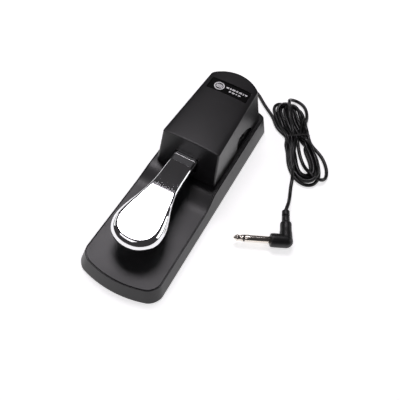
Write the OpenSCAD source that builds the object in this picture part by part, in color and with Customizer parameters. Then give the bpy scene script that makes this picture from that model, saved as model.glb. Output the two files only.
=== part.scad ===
// Piano-style sustain pedal: a long black base with a drafted housing over its
// rear half, a chromed lever on a steel rocker, a sub-miniature lever switch,
// a polarity slide switch, and a bundled lead with a right-angle 6.35 mm plug.
// Frame: millimetres, +Z up, -Y towards the foot end, z = 0 on the floor,
// origin under the middle of the base.

/* [Base] */
// Half width of the base at its lower rim
base_hw = 37.4; // [34:0.1:42]
// Half width of the base at the top of its side walls
deck_hw = 33.0; // [30:0.1:36]
// Y of the two front corners of the lower rim
base_front_y = -106.6; // [-112:0.1:-100]
// Y of the two rear corners of the lower rim
base_rear_y = 106.3; // [100:0.1:110]
// How far the front and rear ends bow out
end_bow = 8.0; // [5:0.1:10]
// Height of the front deck
deck_z = 14.1; // [12:0.1:16]
// Height of the raised rear platform under the housing
platform_z = 19.4; // [18:0.1:22]
// Gap between the lower rim and the floor
rim_z = 0.8; // [0.5:0.1:1]
// Wall of the base moulding
base_wall = 2.4; // [2:0.1:3]
// Radius of the front corners in plan
front_corner_r = 8.5; // [5:0.5:10]

/* [Housing] */
// Half width of the housing at its lower front edge
cover_hw = 28.9; // [28:0.1:30]
// Half width of the roof at its front edge
roof_hw = 26.4; // [25:0.1:27]
// Half width of the roof at its rear corners
roof_rear_hw = 23.3; // [22:0.1:25]
// Height of the roof at its side edges
roof_z = 57.1; // [54:0.1:60]
// Rise of the roof crown at the middle
roof_crown = 1.5; // [0.5:0.1:2]
// Wall of the housing moulding
cover_wall = 2.3; // [2:0.1:3]

/* [Lever] */
// Sideways place of the lever's centreline
lever_x = -1.5; // [-2:0.1:0]
// Height of the lever's top face
lever_z = 42.0; // [41:0.1:43]
// Thickness of the chromed sheet
lever_t = 1.6; // [1.2:0.1:1.8]
// Depth of the lever's turned-down edge
lever_depth = 8.5; // [7.5:0.1:9]
// Y of the pivot shaft
pivot_y = 60; // [58:0.5:62]
// Height of the pivot shaft
pivot_z = 31.5; // [31:0.1:32]
// Radius of the pivot shaft
shaft_r = 2.5; // [2.3:0.1:2.6]

/* [Lead and plug] */
// Diameter of the lead
cord_d = 3.4; // [3:0.1:4]
// Radius of the plug's shank
plug_r = 3.175; // [3.1:0.005:3.2]
// Length of the plug from its point to its shoulder
plug_len = 31.75; // [30:0.05:32]
// Direction of the plug from its point to its shoulder, degrees from +X
plug_dir = 26; // [20:1:32]
// Angle between the two arms of the plug body
plug_elbow = 86.5; // [84:0.5:92]

/* [Hidden] */
$fn = 48;
e = 0.01;

// ---- shared functions -------------------------------------------------
function bow(hw, y, s, n, d) = let (R = (hw*hw + s*s) / (2*s))
  [for (i = [0:n]) let (x = -hw + 2*hw*i/n) [x, y + d*(sqrt(R*R - x*x) - (R - s))]];
function rev(v) = [for (i = [len(v)-1:-1:0]) v[i]];
function unit(v) = v / norm(v);
function smooth(t) = t <= 0 ? 0 : t >= 1 ? 1 : t*t*(3 - 2*t);
// Catmull-Rom curve through the points p, k steps to a span
function cr(a, b, c, d, t) = 0.5*((2*b) + (c - a)*t + (2*a - 5*b + 4*c - d)*t*t + (3*b - a - 3*c + d)*t*t*t);
function spline(p, k) = let (n = len(p))
  concat([for (i = [0:n-2]) for (j = [0:k-1])
    cr(p[max(i-1, 0)], p[i], p[i+1], p[min(i+2, n-1)], j/k)], [p[n-1]]);
function tangent(p, i) = unit(p[min(i+1, len(p)-1)] - p[max(i-1, 0)]);

// Closed round tube along the points p; no stretch of it is upright
module tube(p, r, sides = 8) {
  n = len(p);
  pts = [for (i = [0:n-1]) let (t = tangent(p, i), s = unit(cross(t, [0, 0, 1])), u = cross(s, t))
    for (k = [0:sides-1]) p[i] + r*(cos(360*k/sides)*s + sin(360*k/sides)*u)];
  side = [for (i = [0:n-2]) for (k = [0:sides-1]) let (a = i*sides + k, b = i*sides + (k+1)%sides)
    for (f = [[a, b, a + sides], [b, b + sides, a + sides]]) f];
  polyhedron(points = pts, faces = concat(side,
    [[for (k = [sides-1:-1:0]) k]], [[for (k = [0:sides-1]) (n-1)*sides + k]]), convexity = 8);
}

// Plan outline with bowed ends: half widths f and b, corner ys, bows
module plan(hf, yf, sf, hb, yb, sb) {
  polygon(concat(bow(hf, yf, sf, 24, -1), rev(bow(hb, yb, sb, 24, 1))));
}
module round_corners(r) { offset(r = r) offset(delta = -r) children(); }
module slab(z) { translate([0, 0, z]) linear_extrude(e) children(); }
module pan_screw(shank_r, len, head_r, head_h) {
  cylinder(r = head_r, h = head_h);
  translate([0, 0, -len]) cylinder(r = shank_r, h = len + e);
}

// ---- base ---------------------------------------------------------------
bottom_screw_at = [[-29, -92], [29, -92], [-29.5, -8], [29.5, -8], [-28, 99], [28, 99]];
cover_screw_at = [[-21.5, 15], [21.5, 15], [-21.5, 91], [21.5, 91]];
bracket_screw_at = [[-16.5, 54], [16.5, 54], [-16.5, 66], [16.5, 66]];
board_screw_at = [[12, 39.5], [21.5, 76]];
clamp_screw_at = [[-17, 98], [-3, 98]];
gland_x = -10;
gland_z = 10;
// Height of the deck surface along the base
function deck(y) = deck_z + (platform_z - deck_z)*smooth((y + 22)/24);

module base_plan(inset, top) {
  hw = (top ? deck_hw : base_hw) - inset;
  yf = (top ? base_front_y + 5.1 : base_front_y) + inset;
  yb = (top ? base_rear_y - 1.4 : base_rear_y) - inset;
  intersection() {
    round_corners(2.5) plan(hw, yf, end_bow - (top ? 0.2 : 0), hw, yb, end_bow);
    union() {
      round_corners(front_corner_r - inset/2) plan(hw, yf, end_bow - (top ? 0.2 : 0), hw, yb, end_bow);
      translate([-60, 0]) square([120, 140]);
    }
  }
}
// Everything under the deck surface lowered by d
module under_deck(d) {
  ys = [for (i = [0:16]) -24 + 28*i/16];
  translate([-60, 0, 0]) rotate([90, 0, 90])
    linear_extrude(120) polygon(concat([[-130, -5], [-130, deck(-130) - d]], [for (y = ys) [y, deck(y) - d]],
      [[130, deck(130) - d], [130, -5]]));
}
module base_outer() intersection() {
  hull() { slab(rim_z) base_plan(0, false); slab(platform_z - e) base_plan(0, true); }
  under_deck(0);
}
module base_inner() intersection() {
  hull() { slab(-1) base_plan(base_wall, false); slab(platform_z) base_plan(base_wall, true); }
  under_deck(2.5);
}
module at(list) { for (p = list) translate([p[0], p[1], 0]) children(); }

module base_shell() color([0.13, 0.13, 0.14]) difference() {
  union() {
    difference() { base_outer(); base_inner(); }
    for (p = bottom_screw_at) translate([p[0], p[1], 3.1]) cylinder(r = 3.5, h = deck(p[1]) - 2.5 - 3.1 + 0.5);
    at(bracket_screw_at) translate([lever_x, 0, 10]) cylinder(r = 3, h = 7.5);
    at(board_screw_at) translate([0, 0, platform_z - 0.5]) cylinder(r = 2.2, h = 5.1);
    translate([-7, 39, platform_z - 0.5]) cylinder(r = 2, h = 5.1);
    translate([gland_x - 11, 94, gland_z + cord_d/2]) cube([22, 8, 6]);
    at(clamp_screw_at) translate([0, 0, gland_z]) cylinder(r = 2.6, h = 7.5);
  }
  for (p = bottom_screw_at) translate([p[0], p[1], 0]) cylinder(r = 1.25, h = 9.5);
  at(cover_screw_at) cylinder(r = 1.7, h = 30);
  at(bracket_screw_at) translate([lever_x, 0, 11.5]) cylinder(r = 1.25, h = 20);
  at(board_screw_at) translate([0, 0, 17.5]) cylinder(r = 0.9, h = 20);
  at(clamp_screw_at) translate([0, 0, -1]) cylinder(r = 1.1, h = 17);
  translate([gland_x, 120, gland_z]) rotate([90, 0, 0]) cylinder(r = 4, h = 20);
  translate([gland_x, 84.5, 10]) cylinder(r = 4, h = 20);
}

module plate_plan() offset(delta = -1.4) base_plan(base_wall, false);
module bottom_plate() color([0.62, 0.63, 0.65]) difference() {
  translate([0, 0, 1.9]) linear_extrude(1.2) plate_plan();
  at(bottom_screw_at) cylinder(r = 1.6, h = 10);
}
module bottom_screws() color([0.75, 0.75, 0.77])
  for (p = bottom_screw_at) translate([p[0], p[1], 1.9]) mirror([0, 0, 1]) pan_screw(1.25, 7, 2.8, 1.2);

module grip_pad(y) translate([0, y, 0]) difference() {
  linear_extrude(1.9) round_corners(4) square([48, 34], center = true);
  // fine cross grooves on the sole
  for (i = [-4:4]) translate([-30, 3.4*i - 0.5, -1]) cube([60, 1, 1.5]);
}
module front_grip_pad() color([0.08, 0.08, 0.08]) grip_pad(-88);
module rear_grip_pad() color([0.08, 0.08, 0.08]) grip_pad(78);

// ---- housing --------------------------------------------------------------
cover_front_y = 4.3;
cover_rear_y = 101.3;
roof_front_y = 8.4;
roof_rear_y = 93.8;
crown_r = (roof_hw*roof_hw + roof_crown*roof_crown) / (2*roof_crown);
module cover_foot(inset) round_corners(2) plan(cover_hw - inset, cover_front_y + inset, 0.02,
  cover_hw + 0.4 - inset, cover_rear_y - inset, 9);
module cover_roof(inset) round_corners(1.5) plan(roof_hw - inset, roof_front_y + inset, 0.02,
  roof_rear_hw - inset, roof_rear_y - inset, 10.2);
module crown(inset) intersection() {
  translate([0, 0, roof_z - 2]) linear_extrude(6) cover_roof(inset);
  translate([0, 130, roof_z + roof_crown - crown_r - inset]) rotate([90, 0, 0]) cylinder(r = crown_r, h = 160, $fn = 500);
}
module scoop() translate([26.3, 0, 0]) rotate([90, 0, 90])
  linear_extrude(6) round_corners(1.2) polygon([[50, 21.2], [50, 33.5], [53.5, 35.8], [60, 34.8], [71, 31.6], [82, 24.5], [82, 21.2]]);
module top_cover() color([0.11, 0.11, 0.12]) difference() {
  union() {
    difference() {
      hull() { slab(platform_z) cover_foot(0); crown(0); }
      hull() { slab(platform_z - 1) cover_foot(cover_wall); crown(cover_wall); }
    }
    // thicker wall behind the finger scoop
    intersection() {
      hull() { slab(platform_z) cover_foot(1); slab(roof_z - 3) cover_roof(1); }
      translate([24.7, 47.5, platform_z]) cube([6, 37, 18.5]);
    }
    // posts that take the cover screws
    at(cover_screw_at) translate([0, 0, platform_z]) cylinder(r = 3, h = 13);
    for (p = cover_screw_at) translate([p[0] < 0 ? -26.6 : 21.5, p[1] - 1, platform_z]) cube([5.1, 2, 13]);
    // rib that holds the up-stop pad
    translate([lever_x - 9, 10.5, lever_z + 3.3]) cube([18, 7, 11.5]);
  }
  at(cover_screw_at) translate([0, 0, 10]) cylinder(r = 1.25, h = 20);
  translate([lever_x - 11.4, 0, lever_z - 14.8]) cube([22.8, 12.5, 15.7]);
  scoop();
  translate([20, 59.6, 26.6]) cube([8, 10.8, 4.2]);
  translate([0, 81, roof_z - 0.1]) linear_extrude(5) round_corners(2) square([39.4, 14.4], center = true);
}
module cover_screws() color([0.72, 0.72, 0.74])
  at(cover_screw_at) translate([0, 0, 16.9]) mirror([0, 0, 1]) pan_screw(1.25, 11, 2.9, 1.4);
module badge_plate() color([0.03, 0.03, 0.03])
  translate([0, 81, roof_z - 0.1]) linear_extrude(0.7) round_corners(1.8) square([38.8, 13.8], center = true);

// ---- lever and rocker -------------------------------------------------------
// Right-hand half of the lever's outline, from the housing end to the spoon
lever_half = [[10.6, 48], [10.6, 20], [10.6, 2], [10.7, -10], [11.0, -22], [12.2, -34], [14.9, -46],
  [18.1, -56], [20.1, -64], [20.9, -72], [20.5, -78.5], [18.4, -84.5], [14.5, -89], [8, -91.6], [0, -92.2]];
module lever_plan() {
  s = spline(lever_half, 4);
  m = [for (i = [len(s)-2:-1:0]) [-s[i][0], s[i][1]]];
  translate([lever_x, 0]) polygon(concat(s, m));
}
module pedal_lever() color([0.85, 0.86, 0.88]) difference() {
  union() {
    translate([0, 0, lever_z - 0.5]) linear_extrude(0.5) offset(delta = -0.45) lever_plan();
    translate([0, 0, lever_z - lever_depth]) linear_extrude(lever_depth - 0.5) lever_plan();
  }
  translate([0, 0, lever_z - lever_depth - 1]) linear_extrude(lever_depth + 1 - lever_t) offset(delta = -lever_t) lever_plan();
  translate([lever_x - 9, 40, lever_z - lever_depth - 1]) cube([18, 20, lever_depth + 1 - lever_t]);
  for (y = [21.5, 43]) translate([lever_x, y, 0]) cylinder(r = 1.6, h = 60);
}
rocker_top = lever_z - lever_t;
module rocker_side() rotate([90, 0, 90]) linear_extrude(1.5)
  polygon([[9.5, rocker_top], [9.5, 35.2], [45, 35.2], [51, 27.5], [56, 24.5], [64, 24.5], [69, 27.5], [74, 34], [74, rocker_top]]);
module rocker_arm() color([0.70, 0.70, 0.66]) difference() {
  union() {
    translate([lever_x - 8.9, 9.5, rocker_top - 1.5]) cube([17.8, 64.5, 1.5]);
    translate([lever_x - 8.9, 0, 0]) rocker_side();
    translate([lever_x + 7.4, 0, 0]) rocker_side();
    // rounded pin that presses the switch leaf
    translate([lever_x, 38, 36.6]) cylinder(r = 1.2, h = 3);
    translate([lever_x, 38, 36.6]) sphere(r = 1.2);
  }
  translate([lever_x, pivot_y, pivot_z]) rotate([0, 90, 0]) cylinder(r = 4, h = 30, center = true);
  for (y = [21.5, 43]) translate([lever_x, y, 30]) cylinder(r = 1.5, h = 20);
}
module lever_screws() color([0.78, 0.78, 0.80])
  for (y = [21.5, 43]) translate([lever_x, y, lever_z]) pan_screw(1.5, 4.6, 2.7, 1.8);
// Flanged nylon bushes, pressed into the rocker and turning on the shaft
module bush() rotate([0, 90, 0]) difference() {
  union() { cylinder(r = 4, h = 3.5); translate([0, 0, 3.5]) cylinder(r = 5.5, h = 1); }
  translate([0, 0, -1]) cylinder(r = shaft_r + 0.05, h = 10);
}
module pivot_bushes() color([0.9, 0.89, 0.84]) {
  translate([lever_x + 5.4, pivot_y, pivot_z]) bush();
  translate([lever_x - 5.4, pivot_y, pivot_z]) mirror([1, 0, 0]) bush();
}

// ---- pivot hardware -----------------------------------------------------------
module pivot_shaft() color([0.75, 0.75, 0.77]) translate([lever_x, pivot_y, pivot_z]) rotate([0, 90, 0]) difference() {
  cylinder(r = shaft_r, h = 30, center = true);
  for (s = [-1, 1]) translate([0, 0, 12.7*s]) difference() {
    cylinder(r = shaft_r + 1, h = 0.8, center = true);
    cylinder(r = shaft_r - 0.6, h = 2, center = true);
  }
}
module shaft_clips() color([0.55, 0.55, 0.58]) for (s = [-1, 1])
  translate([lever_x + 12.7*s, pivot_y, pivot_z]) rotate([0, 90, 0]) difference() {
    cylinder(r = 4.6, h = 0.7, center = true);
    cylinder(r = shaft_r - 0.58, h = 2, center = true);
    translate([0, -1.6, -1]) cube([6, 3.2, 2]);
  }
module ear() rotate([90, 0, 90]) linear_extrude(1.5) difference() {
  union() {
    polygon([[50.5, platform_z], [54.5, pivot_z], [65.5, pivot_z], [69.5, platform_z]]);
    translate([pivot_y, pivot_z]) circle(r = 5.5);
  }
}
module pivot_bracket() color([0.66, 0.67, 0.68]) difference() {
  union() {
    translate([lever_x - 20, 50, platform_z]) cube([40, 20, 1.5]);
    translate([lever_x - 12.1, 0, 0]) ear();
    translate([lever_x + 10.6, 0, 0]) ear();
  }
  translate([lever_x, pivot_y, pivot_z]) rotate([0, 90, 0]) cylinder(r = shaft_r + 0.02, h = 60, center = true);
  at(bracket_screw_at) translate([lever_x, 0, 0]) cylinder(r = 1.6, h = 60);
}
module bracket_screws() color([0.78, 0.78, 0.80])
  at(bracket_screw_at) translate([lever_x, 0, platform_z + 1.5]) pan_screw(1.25, 9, 2.7, 1.6);

spring_y = 30;
spring_z0 = platform_z + 2;
spring_z1 = rocker_top - 1.8;
module return_spring() color([0.7, 0.7, 0.72]) {
  turns = 6;
  n = 78;
  tube([for (i = [0:n]) let (a = 360*turns*i/n, q = i/n,
      z = spring_z0 + 0.65 + (spring_z1 - spring_z0 - 1.3)*(0.06*smooth(q/0.12) + 0.88*q*1.0 + 0.06*smooth((q - 0.88)/0.12)))
      [lever_x + 4.2*cos(a), spring_y + 4.2*sin(a), z]], 0.55, 8);
}
module spring_seat() color([0.2, 0.2, 0.22]) translate([lever_x, spring_y, platform_z]) {
  cylinder(r = 6.2, h = 2);
  cylinder(r = 3.2, h = 5);
}
module upstop_pad() color([0.1, 0.1, 0.1])
  translate([lever_x - 8.5, 10.8, lever_z + 0.3]) cube([17, 6.4, 3]);
module downstop_buffer() color([0.12, 0.12, 0.12]) translate([lever_x, 13.2, platform_z]) {
  cylinder(r = 4.6, h = 10);
  cylinder(r = 3.8, h = 13.7);
}

// ---- switch and board -----------------------------------------------------------
board_z = platform_z + 4.6;
case_z = board_z + 1.6;
leaf_y = 47;
leaf_z = 32.6;
leaf_angle = 14.6;
module switch_case() color([0.14, 0.14, 0.15]) difference() {
  translate([lever_x - 2.9, 36, case_z]) cube([5.8, 12.2, 32 - case_z]);
  translate([lever_x, 42.5, 28.6]) cylinder(r = 0.92, h = 10);
}
module switch_plunger() color([0.75, 0.12, 0.1]) translate([lever_x, 42.5, 30]) cylinder(r = 0.85, h = 3.25);
module switch_leaf() color([0.8, 0.8, 0.82]) translate([lever_x, leaf_y, leaf_z]) rotate([-leaf_angle, 0, 0]) {
  translate([-2, -10.8, -0.15]) cube([4, 10.8, 0.3]);
  rotate([0, 90, 0]) cylinder(r = 0.5, h = 4, center = true);
}
module switch_terminals() color([0.8, 0.78, 0.7])
  for (y = [38, 42, 46]) translate([lever_x - 0.5, y - 0.3, board_z - 1.6]) cube([1, 0.6, case_z - board_z + 1.6]);
module circuit_board() color([0.12, 0.32, 0.16]) difference() {
  translate([0, 0, board_z]) linear_extrude(1.6)
    polygon([[-9.3, 35.6], [24.2, 35.6], [24.2, 79], [19.2, 79], [19.2, 48.8], [-9.3, 48.8]]);
  at(board_screw_at) cylinder(r = 1.1, h = 40);
  for (y = [38, 42, 46]) translate([lever_x - 0.5, y - 0.3, 10]) cube([1, 0.6, 30]);
}
module board_screws() color([0.78, 0.78, 0.8])
  at(board_screw_at) translate([0, 0, case_z]) pan_screw(0.9, 6.5, 1.9, 1.2);
module polarity_case() color([0.72, 0.72, 0.74]) difference() {
  translate([19.4, 57.5, case_z]) cube([4.6, 15, 6]);
  translate([22.6, 60.4, 27.2]) cube([3, 9.2, 3]);
}
module polarity_knob() color([0.06, 0.06, 0.06]) {
  translate([22.9, 61, 27.5]) cube([4.9, 4.2, 2.4]);
  for (i = [0:2]) translate([27.8, 61.6 + 1.3*i, 27.5]) cube([0.35, 0.5, 2.4]);
}

// ---- inside lead ----------------------------------------------------------------
module cable_clamp() color([0.12, 0.12, 0.12]) difference() {
  translate([gland_x - 10, 95, 5.3]) cube([20, 6, gland_z - cord_d/2 - 5.3]);
  at(clamp_screw_at) cylinder(r = 1.3, h = 20);
}
module clamp_screws() color([0.78, 0.78, 0.8])
  at(clamp_screw_at) translate([0, 0, 5.3]) mirror([0, 0, 1]) pan_screw(1.1, 8, 2.3, 1.3);
inner_route = [[gland_x, 108.5, gland_z], [gland_x, 104, gland_z], [gland_x, 98, gland_z], [gland_x, 92.5, gland_z + 0.3],
  [gland_x, 88, gland_z + 3], [gland_x, 85.2, gland_z + 7], [gland_x, 83.5, gland_z + 11], [gland_x, 81.5, gland_z + 14.5]];
module inner_cable() color([0.05, 0.05, 0.05]) tube(spline(inner_route, 2), cord_d/2);
module signal_wires() for (s = [0, 1])
  color(s == 0 ? [0.7, 0.1, 0.1] : [0.85, 0.85, 0.85])
    tube(spline([[gland_x - 0.9 + 1.8*s, 81.2, gland_z + 15.2], [gland_x - 2.4 + 2*s, 78, gland_z + 16.5 - s], [-16 + 2*s, 73, 26.8 - 0.6*s],
      [-18 + 2*s, 68, 26], [-18.2 + 2*s, 60, 25.6], [-18 + 2*s, 52, 26], [-15.4 + 1.8*s, 45.6 + 2.2*s, 27], [-7.5, 43.2 + 2.8*s, case_z + 0.7]], 2), 0.5, 6);

// ---- outside lead ----------------------------------------------------------------
// Moulded strain relief through the rear wall
module cable_gland() color([0.06, 0.06, 0.06]) translate([gland_x, 0, gland_z]) rotate([-90, 0, 0]) {
  translate([0, 0, 108.5]) cylinder(r = 3.95, h = 6.6);
  translate([0, 0, 114.4]) cylinder(r = 5.4, h = 1.6);
  translate([0, 0, 115.9]) cylinder(r1 = 3.6, r2 = 2.5, h = 15.1);
}
lead_z = cord_d/2 + 0.05;
lead_route = [[gland_x, 131, gland_z], [gland_x, 135, 8.6], [gland_x + 0.5, 140, 5], [2 + gland_x, 145, 2.4],
  [6 + gland_x, 149.4, lead_z], [2, 151.6, lead_z], [8, 150.6, lead_z], [13.5, 146.4, lead_z],
  [19.5, 141, lead_z], [26, 135.6, lead_z], [33, 130.2, lead_z], [40, 125, lead_z], [46, 120.2, lead_z], [52, 115, lead_z]];
module cable_lead() color([0.05, 0.05, 0.05]) tube(spline(lead_route, 3), cord_d/2);

hank_h = 8.4;
module cable_hank() color([0.06, 0.06, 0.06]) translate([0, 0, 0.6]) linear_extrude(hank_h) {
  hull() {
    translate([39.5, 144.5]) circle(r = 10.5, $fn = 32);
    translate([53.5, 150]) circle(r = 16, $fn = 32);
    translate([68.5, 113.5]) circle(r = 12, $fn = 32);
  }
  hull() {
    translate([68.5, 113.5]) circle(r = 12, $fn = 32);
    translate([99, 84.5]) circle(r = 14, $fn = 32);
    translate([93, 73.5]) circle(r = 13.5, $fn = 32);
  }
}
module hank_tie() color([0.03, 0.03, 0.03]) translate([68.5, 113.5, 0]) rotate([0, 0, 37]) difference() {
  translate([-13, -1.5, 0]) cube([26, 3, hank_h + 1.3]);
  translate([-12.1, -3, 0.6]) cube([24.2, 6, hank_h]);
}

plug_tip_at = [62.9, -23.8, 6.4];
elbow_at = 13.5;
boot_from = 18.5;
boot_to = 31;
arm_dir = plug_dir + plug_elbow;
elbow = [plug_tip_at[0] + (plug_len + elbow_at)*cos(plug_dir), plug_tip_at[1] + (plug_len + elbow_at)*sin(plug_dir), plug_tip_at[2]];
boot_end = [elbow[0] + boot_to*cos(arm_dir), elbow[1] + boot_to*sin(arm_dir), elbow[2]];
tail_route = [[82.5, 64, 5.2], [85, 57, 4.6], [87, 50, 4.4], [88.6, 43, 4.8], [89.8, 37, 5.6],
  [boot_end[0] + 2*cos(arm_dir), boot_end[1] + 2*sin(arm_dir), boot_end[2]], boot_end];
module cable_tail() color([0.05, 0.05, 0.05]) tube(spline(tail_route, 3), cord_d/2);

// Plug pieces are drawn along +X from the point, then laid in place
module lay_plug() translate(plug_tip_at) rotate([0, 0, plug_dir]) rotate([0, 90, 0]) children();
module lay_arm() translate(elbow) rotate([0, 0, arm_dir]) rotate([0, 90, 0]) children();
module plug_boot() color([0.06, 0.06, 0.06]) lay_arm() {
  translate([0, 0, boot_from]) cylinder(r1 = 3.6, r2 = 2.6, h = boot_to - boot_from);
  for (i = [0:3]) translate([0, 0, boot_from + 1.2 + 3*i]) cylinder(r = 3.6 - 0.22*i, h = 1.7);
}
module plug_body() color([0.07, 0.07, 0.07]) difference() {
  union() {
    lay_plug() rotate_extrude() polygon(concat([[0, plug_len], [5.5, plug_len], [5.9, plug_len + 1.2], [6.1, plug_len + 2]],
      [for (a = [0:10:80]) [6.1*cos(a), plug_len + elbow_at + 6.1*sin(a)]], [[0, plug_len + elbow_at + 6.1]]));
    lay_arm() rotate_extrude() polygon([[0, 0], [5.8, 0], [5.4, 8], [4.8, 12], [4.8, boot_from], [0, boot_from]]);
  }
  lay_plug() translate([0, 0, plug_len - 1]) cylinder(r = 2.2, h = 9);
}
module plug_sleeve() color([0.78, 0.76, 0.72]) lay_plug() difference() {
  union() {
    translate([0, 0, 9.6]) cylinder(r = plug_r, h = plug_len - 9.6);
    translate([0, 0, plug_len - 1]) cylinder(r = 2.2, h = 9);
  }
  translate([0, 0, 5]) cylinder(r = 1.2, h = 8);
}
module plug_insulator() color([0.05, 0.05, 0.05]) lay_plug() difference() {
  translate([0, 0, 8.3]) cylinder(r = plug_r - 0.22, h = 1.3);
  translate([0, 0, 5]) cylinder(r = 1.2, h = 8);
}
module plug_tip() color([0.8, 0.78, 0.74]) lay_plug() {
  rotate_extrude() polygon([[0, 0], [0.5, 0], [1.1, 0.5], [2.7, 2.7], [2.95, 3.3], [2.8, 4.0], [2.35, 5.2], [2.3, 5.8],
    [2.6, 6.6], [2.95, 7.3], [3.0, 7.7], [3.0, 8.3], [0, 8.3]]);
  translate([0, 0, 8]) cylinder(r = 1.2, h = 5);
}

base_shell();
bottom_plate();
bottom_screws();
front_grip_pad();
rear_grip_pad();
top_cover();
cover_screws();
badge_plate();
pedal_lever();
rocker_arm();
lever_screws();
pivot_bushes();
pivot_shaft();
shaft_clips();
pivot_bracket();
bracket_screws();
return_spring();
spring_seat();
upstop_pad();
downstop_buffer();
switch_case();
switch_plunger();
switch_leaf();
switch_terminals();
circuit_board();
board_screws();
polarity_case();
polarity_knob();
cable_clamp();
clamp_screws();
inner_cable();
signal_wires();
cable_gland();
cable_lead();
cable_hank();
hank_tie();
cable_tail();
plug_boot();
plug_body();
plug_sleeve();
plug_insulator();
plug_tip();
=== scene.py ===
import bmesh
import bpy
import math
import numpy as np
from mathutils import Matrix, Vector


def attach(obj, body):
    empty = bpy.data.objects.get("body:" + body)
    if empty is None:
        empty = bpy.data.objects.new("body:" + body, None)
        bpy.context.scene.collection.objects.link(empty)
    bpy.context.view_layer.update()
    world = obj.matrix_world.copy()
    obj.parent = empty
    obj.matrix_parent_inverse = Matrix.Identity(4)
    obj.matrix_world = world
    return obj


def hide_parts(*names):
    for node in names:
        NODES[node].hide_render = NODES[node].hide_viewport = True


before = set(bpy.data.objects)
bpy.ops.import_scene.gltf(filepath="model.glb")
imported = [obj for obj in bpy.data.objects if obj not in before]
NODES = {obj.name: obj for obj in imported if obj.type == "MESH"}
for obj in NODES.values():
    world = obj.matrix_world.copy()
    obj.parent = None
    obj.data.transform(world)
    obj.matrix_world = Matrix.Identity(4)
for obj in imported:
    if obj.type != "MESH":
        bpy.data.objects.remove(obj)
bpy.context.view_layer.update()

MM = 0.001
scene = bpy.context.scene


# ---------------------------------------------------------------- camera
def make_camera():
    az, el, roll = (math.radians(a) for a in (19.42, 55.35, 9.89))
    back = Vector((math.sin(az) * math.cos(el), -math.cos(az) * math.cos(el), math.sin(el)))
    x = Vector((0, 0, 1)).cross(back).normalized()
    y = back.cross(x)
    xr = math.cos(roll) * x + math.sin(roll) * y
    yr = -math.sin(roll) * x + math.cos(roll) * y
    data = bpy.data.cameras.new("camera")
    data.lens = 47.29
    data.sensor_width = 36.0
    data.clip_start = 0.01
    data.clip_end = 20.0
    cam = bpy.data.objects.new("camera", data)
    scene.collection.objects.link(cam)
    m = Matrix((xr, yr, back)).transposed().to_4x4()
    m.translation = Vector((0.10850, -0.25266, 0.38675))
    cam.matrix_world = m
    scene.camera = cam


make_camera()


# ---------------------------------------------------------------- cord
CORD_R = 1.7
TIE = np.array([68.5, 113.5])
UP = np.array([-0.57, 0.8216])      # along the bundle, towards its rear loops
ACROSS = np.array([0.8216, 0.57])   # across the bundle, to the right


def hank(s, w, z):
    p = TIE + s * UP + w * ACROSS
    return [p[0], p[1], z]


def spline(pts, step):
    """Catmull-Rom curve through pts, resampled at equal steps of about the given length."""
    p = np.array(pts, float)
    q = np.vstack([2 * p[0] - p[1], p, 2 * p[-1] - p[-2]])
    out = []
    for i in range(len(p) - 1):
        a, b, c, d = q[i], q[i + 1], q[i + 2], q[i + 3]
        # centripetal knots, so close points make no loops
        t = np.cumsum([0.0] + [max(np.linalg.norm(v) ** 0.5, 1e-6) for v in (b - a, c - b, d - c)])
        n = max(2, int(np.linalg.norm(c - b) / 0.5))
        for x in np.linspace(t[1], t[2], n, endpoint=False):
            a1 = (t[1] - x) / (t[1] - t[0]) * a + (x - t[0]) / (t[1] - t[0]) * b
            a2 = (t[2] - x) / (t[2] - t[1]) * b + (x - t[1]) / (t[2] - t[1]) * c
            a3 = (t[3] - x) / (t[3] - t[2]) * c + (x - t[2]) / (t[3] - t[2]) * d
            b1 = (t[2] - x) / (t[2] - t[0]) * a1 + (x - t[0]) / (t[2] - t[0]) * a2
            b2 = (t[3] - x) / (t[3] - t[1]) * a2 + (x - t[1]) / (t[3] - t[1]) * a3
            out.append((t[2] - x) / (t[2] - t[1]) * b1 + (x - t[1]) / (t[2] - t[1]) * b2)
    out.append(p[-1])
    return resample(np.array(out), step)


def resample(p, step):
    run = np.concatenate([[0], np.cumsum(np.linalg.norm(np.diff(p, axis=0), axis=1))])
    n = max(2, int(round(run[-1] / step)) + 1)
    want = np.linspace(0, run[-1], n)
    return np.stack([np.interp(want, run, p[:, k]) for k in range(3)], 1)


def lower_loop(inset, z, left_in, right_out):
    """One strand from the tie round the front end of the bundle and back, inset from the outermost one."""
    m = inset
    return [hank(-9, left_in * 0.55 + 0.45 * (-12.6 + m), z), hank(-21, -13.8 + m, z), hank(-34, -15.0 + m, z), hank(-46, -13.2 + 0.95 * m, z),
            hank(-54 + 0.75 * m, -8.2 + 0.6 * m, z), hank(-57.2 + m, -1.2, z), hank(-54.5 + 0.8 * m, 5.4 - 0.5 * m, z),
            hank(-46, 10.3 - 0.95 * m, z), hank(-32, 12.8 - m, z), hank(-18, 12.2 - m, z),
            hank(-9, right_out * 0.5 + 0.5 * (10.5 - m), z)]


def upper_loop(left, right, end, z, right_in, left_out):
    """One strand from the tie up the right side, round the rear end of the bundle, and down the left side."""
    mid, r = (left + right) / 2, (right - left) / 2
    return [hank(9, right_in * 0.6 + 0.4 * right, z), hank(20, right * 0.9 + 0.1 * right_in, z), hank(32, right, z), hank(end - 0.95 * r, right - 0.04 * r, z),
            hank(end - 0.28 * r, mid + 0.70 * r, z), hank(end, mid, z), hank(end - 0.28 * r, mid - 0.70 * r, z),
            hank(end - 0.95 * r, left + 0.04 * r, z), hank(32, left, z), hank(20, left * 0.93 + 0.07 * left_out, z),
            hank(9, left_out * 0.6 + 0.4 * left, z)]


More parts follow.
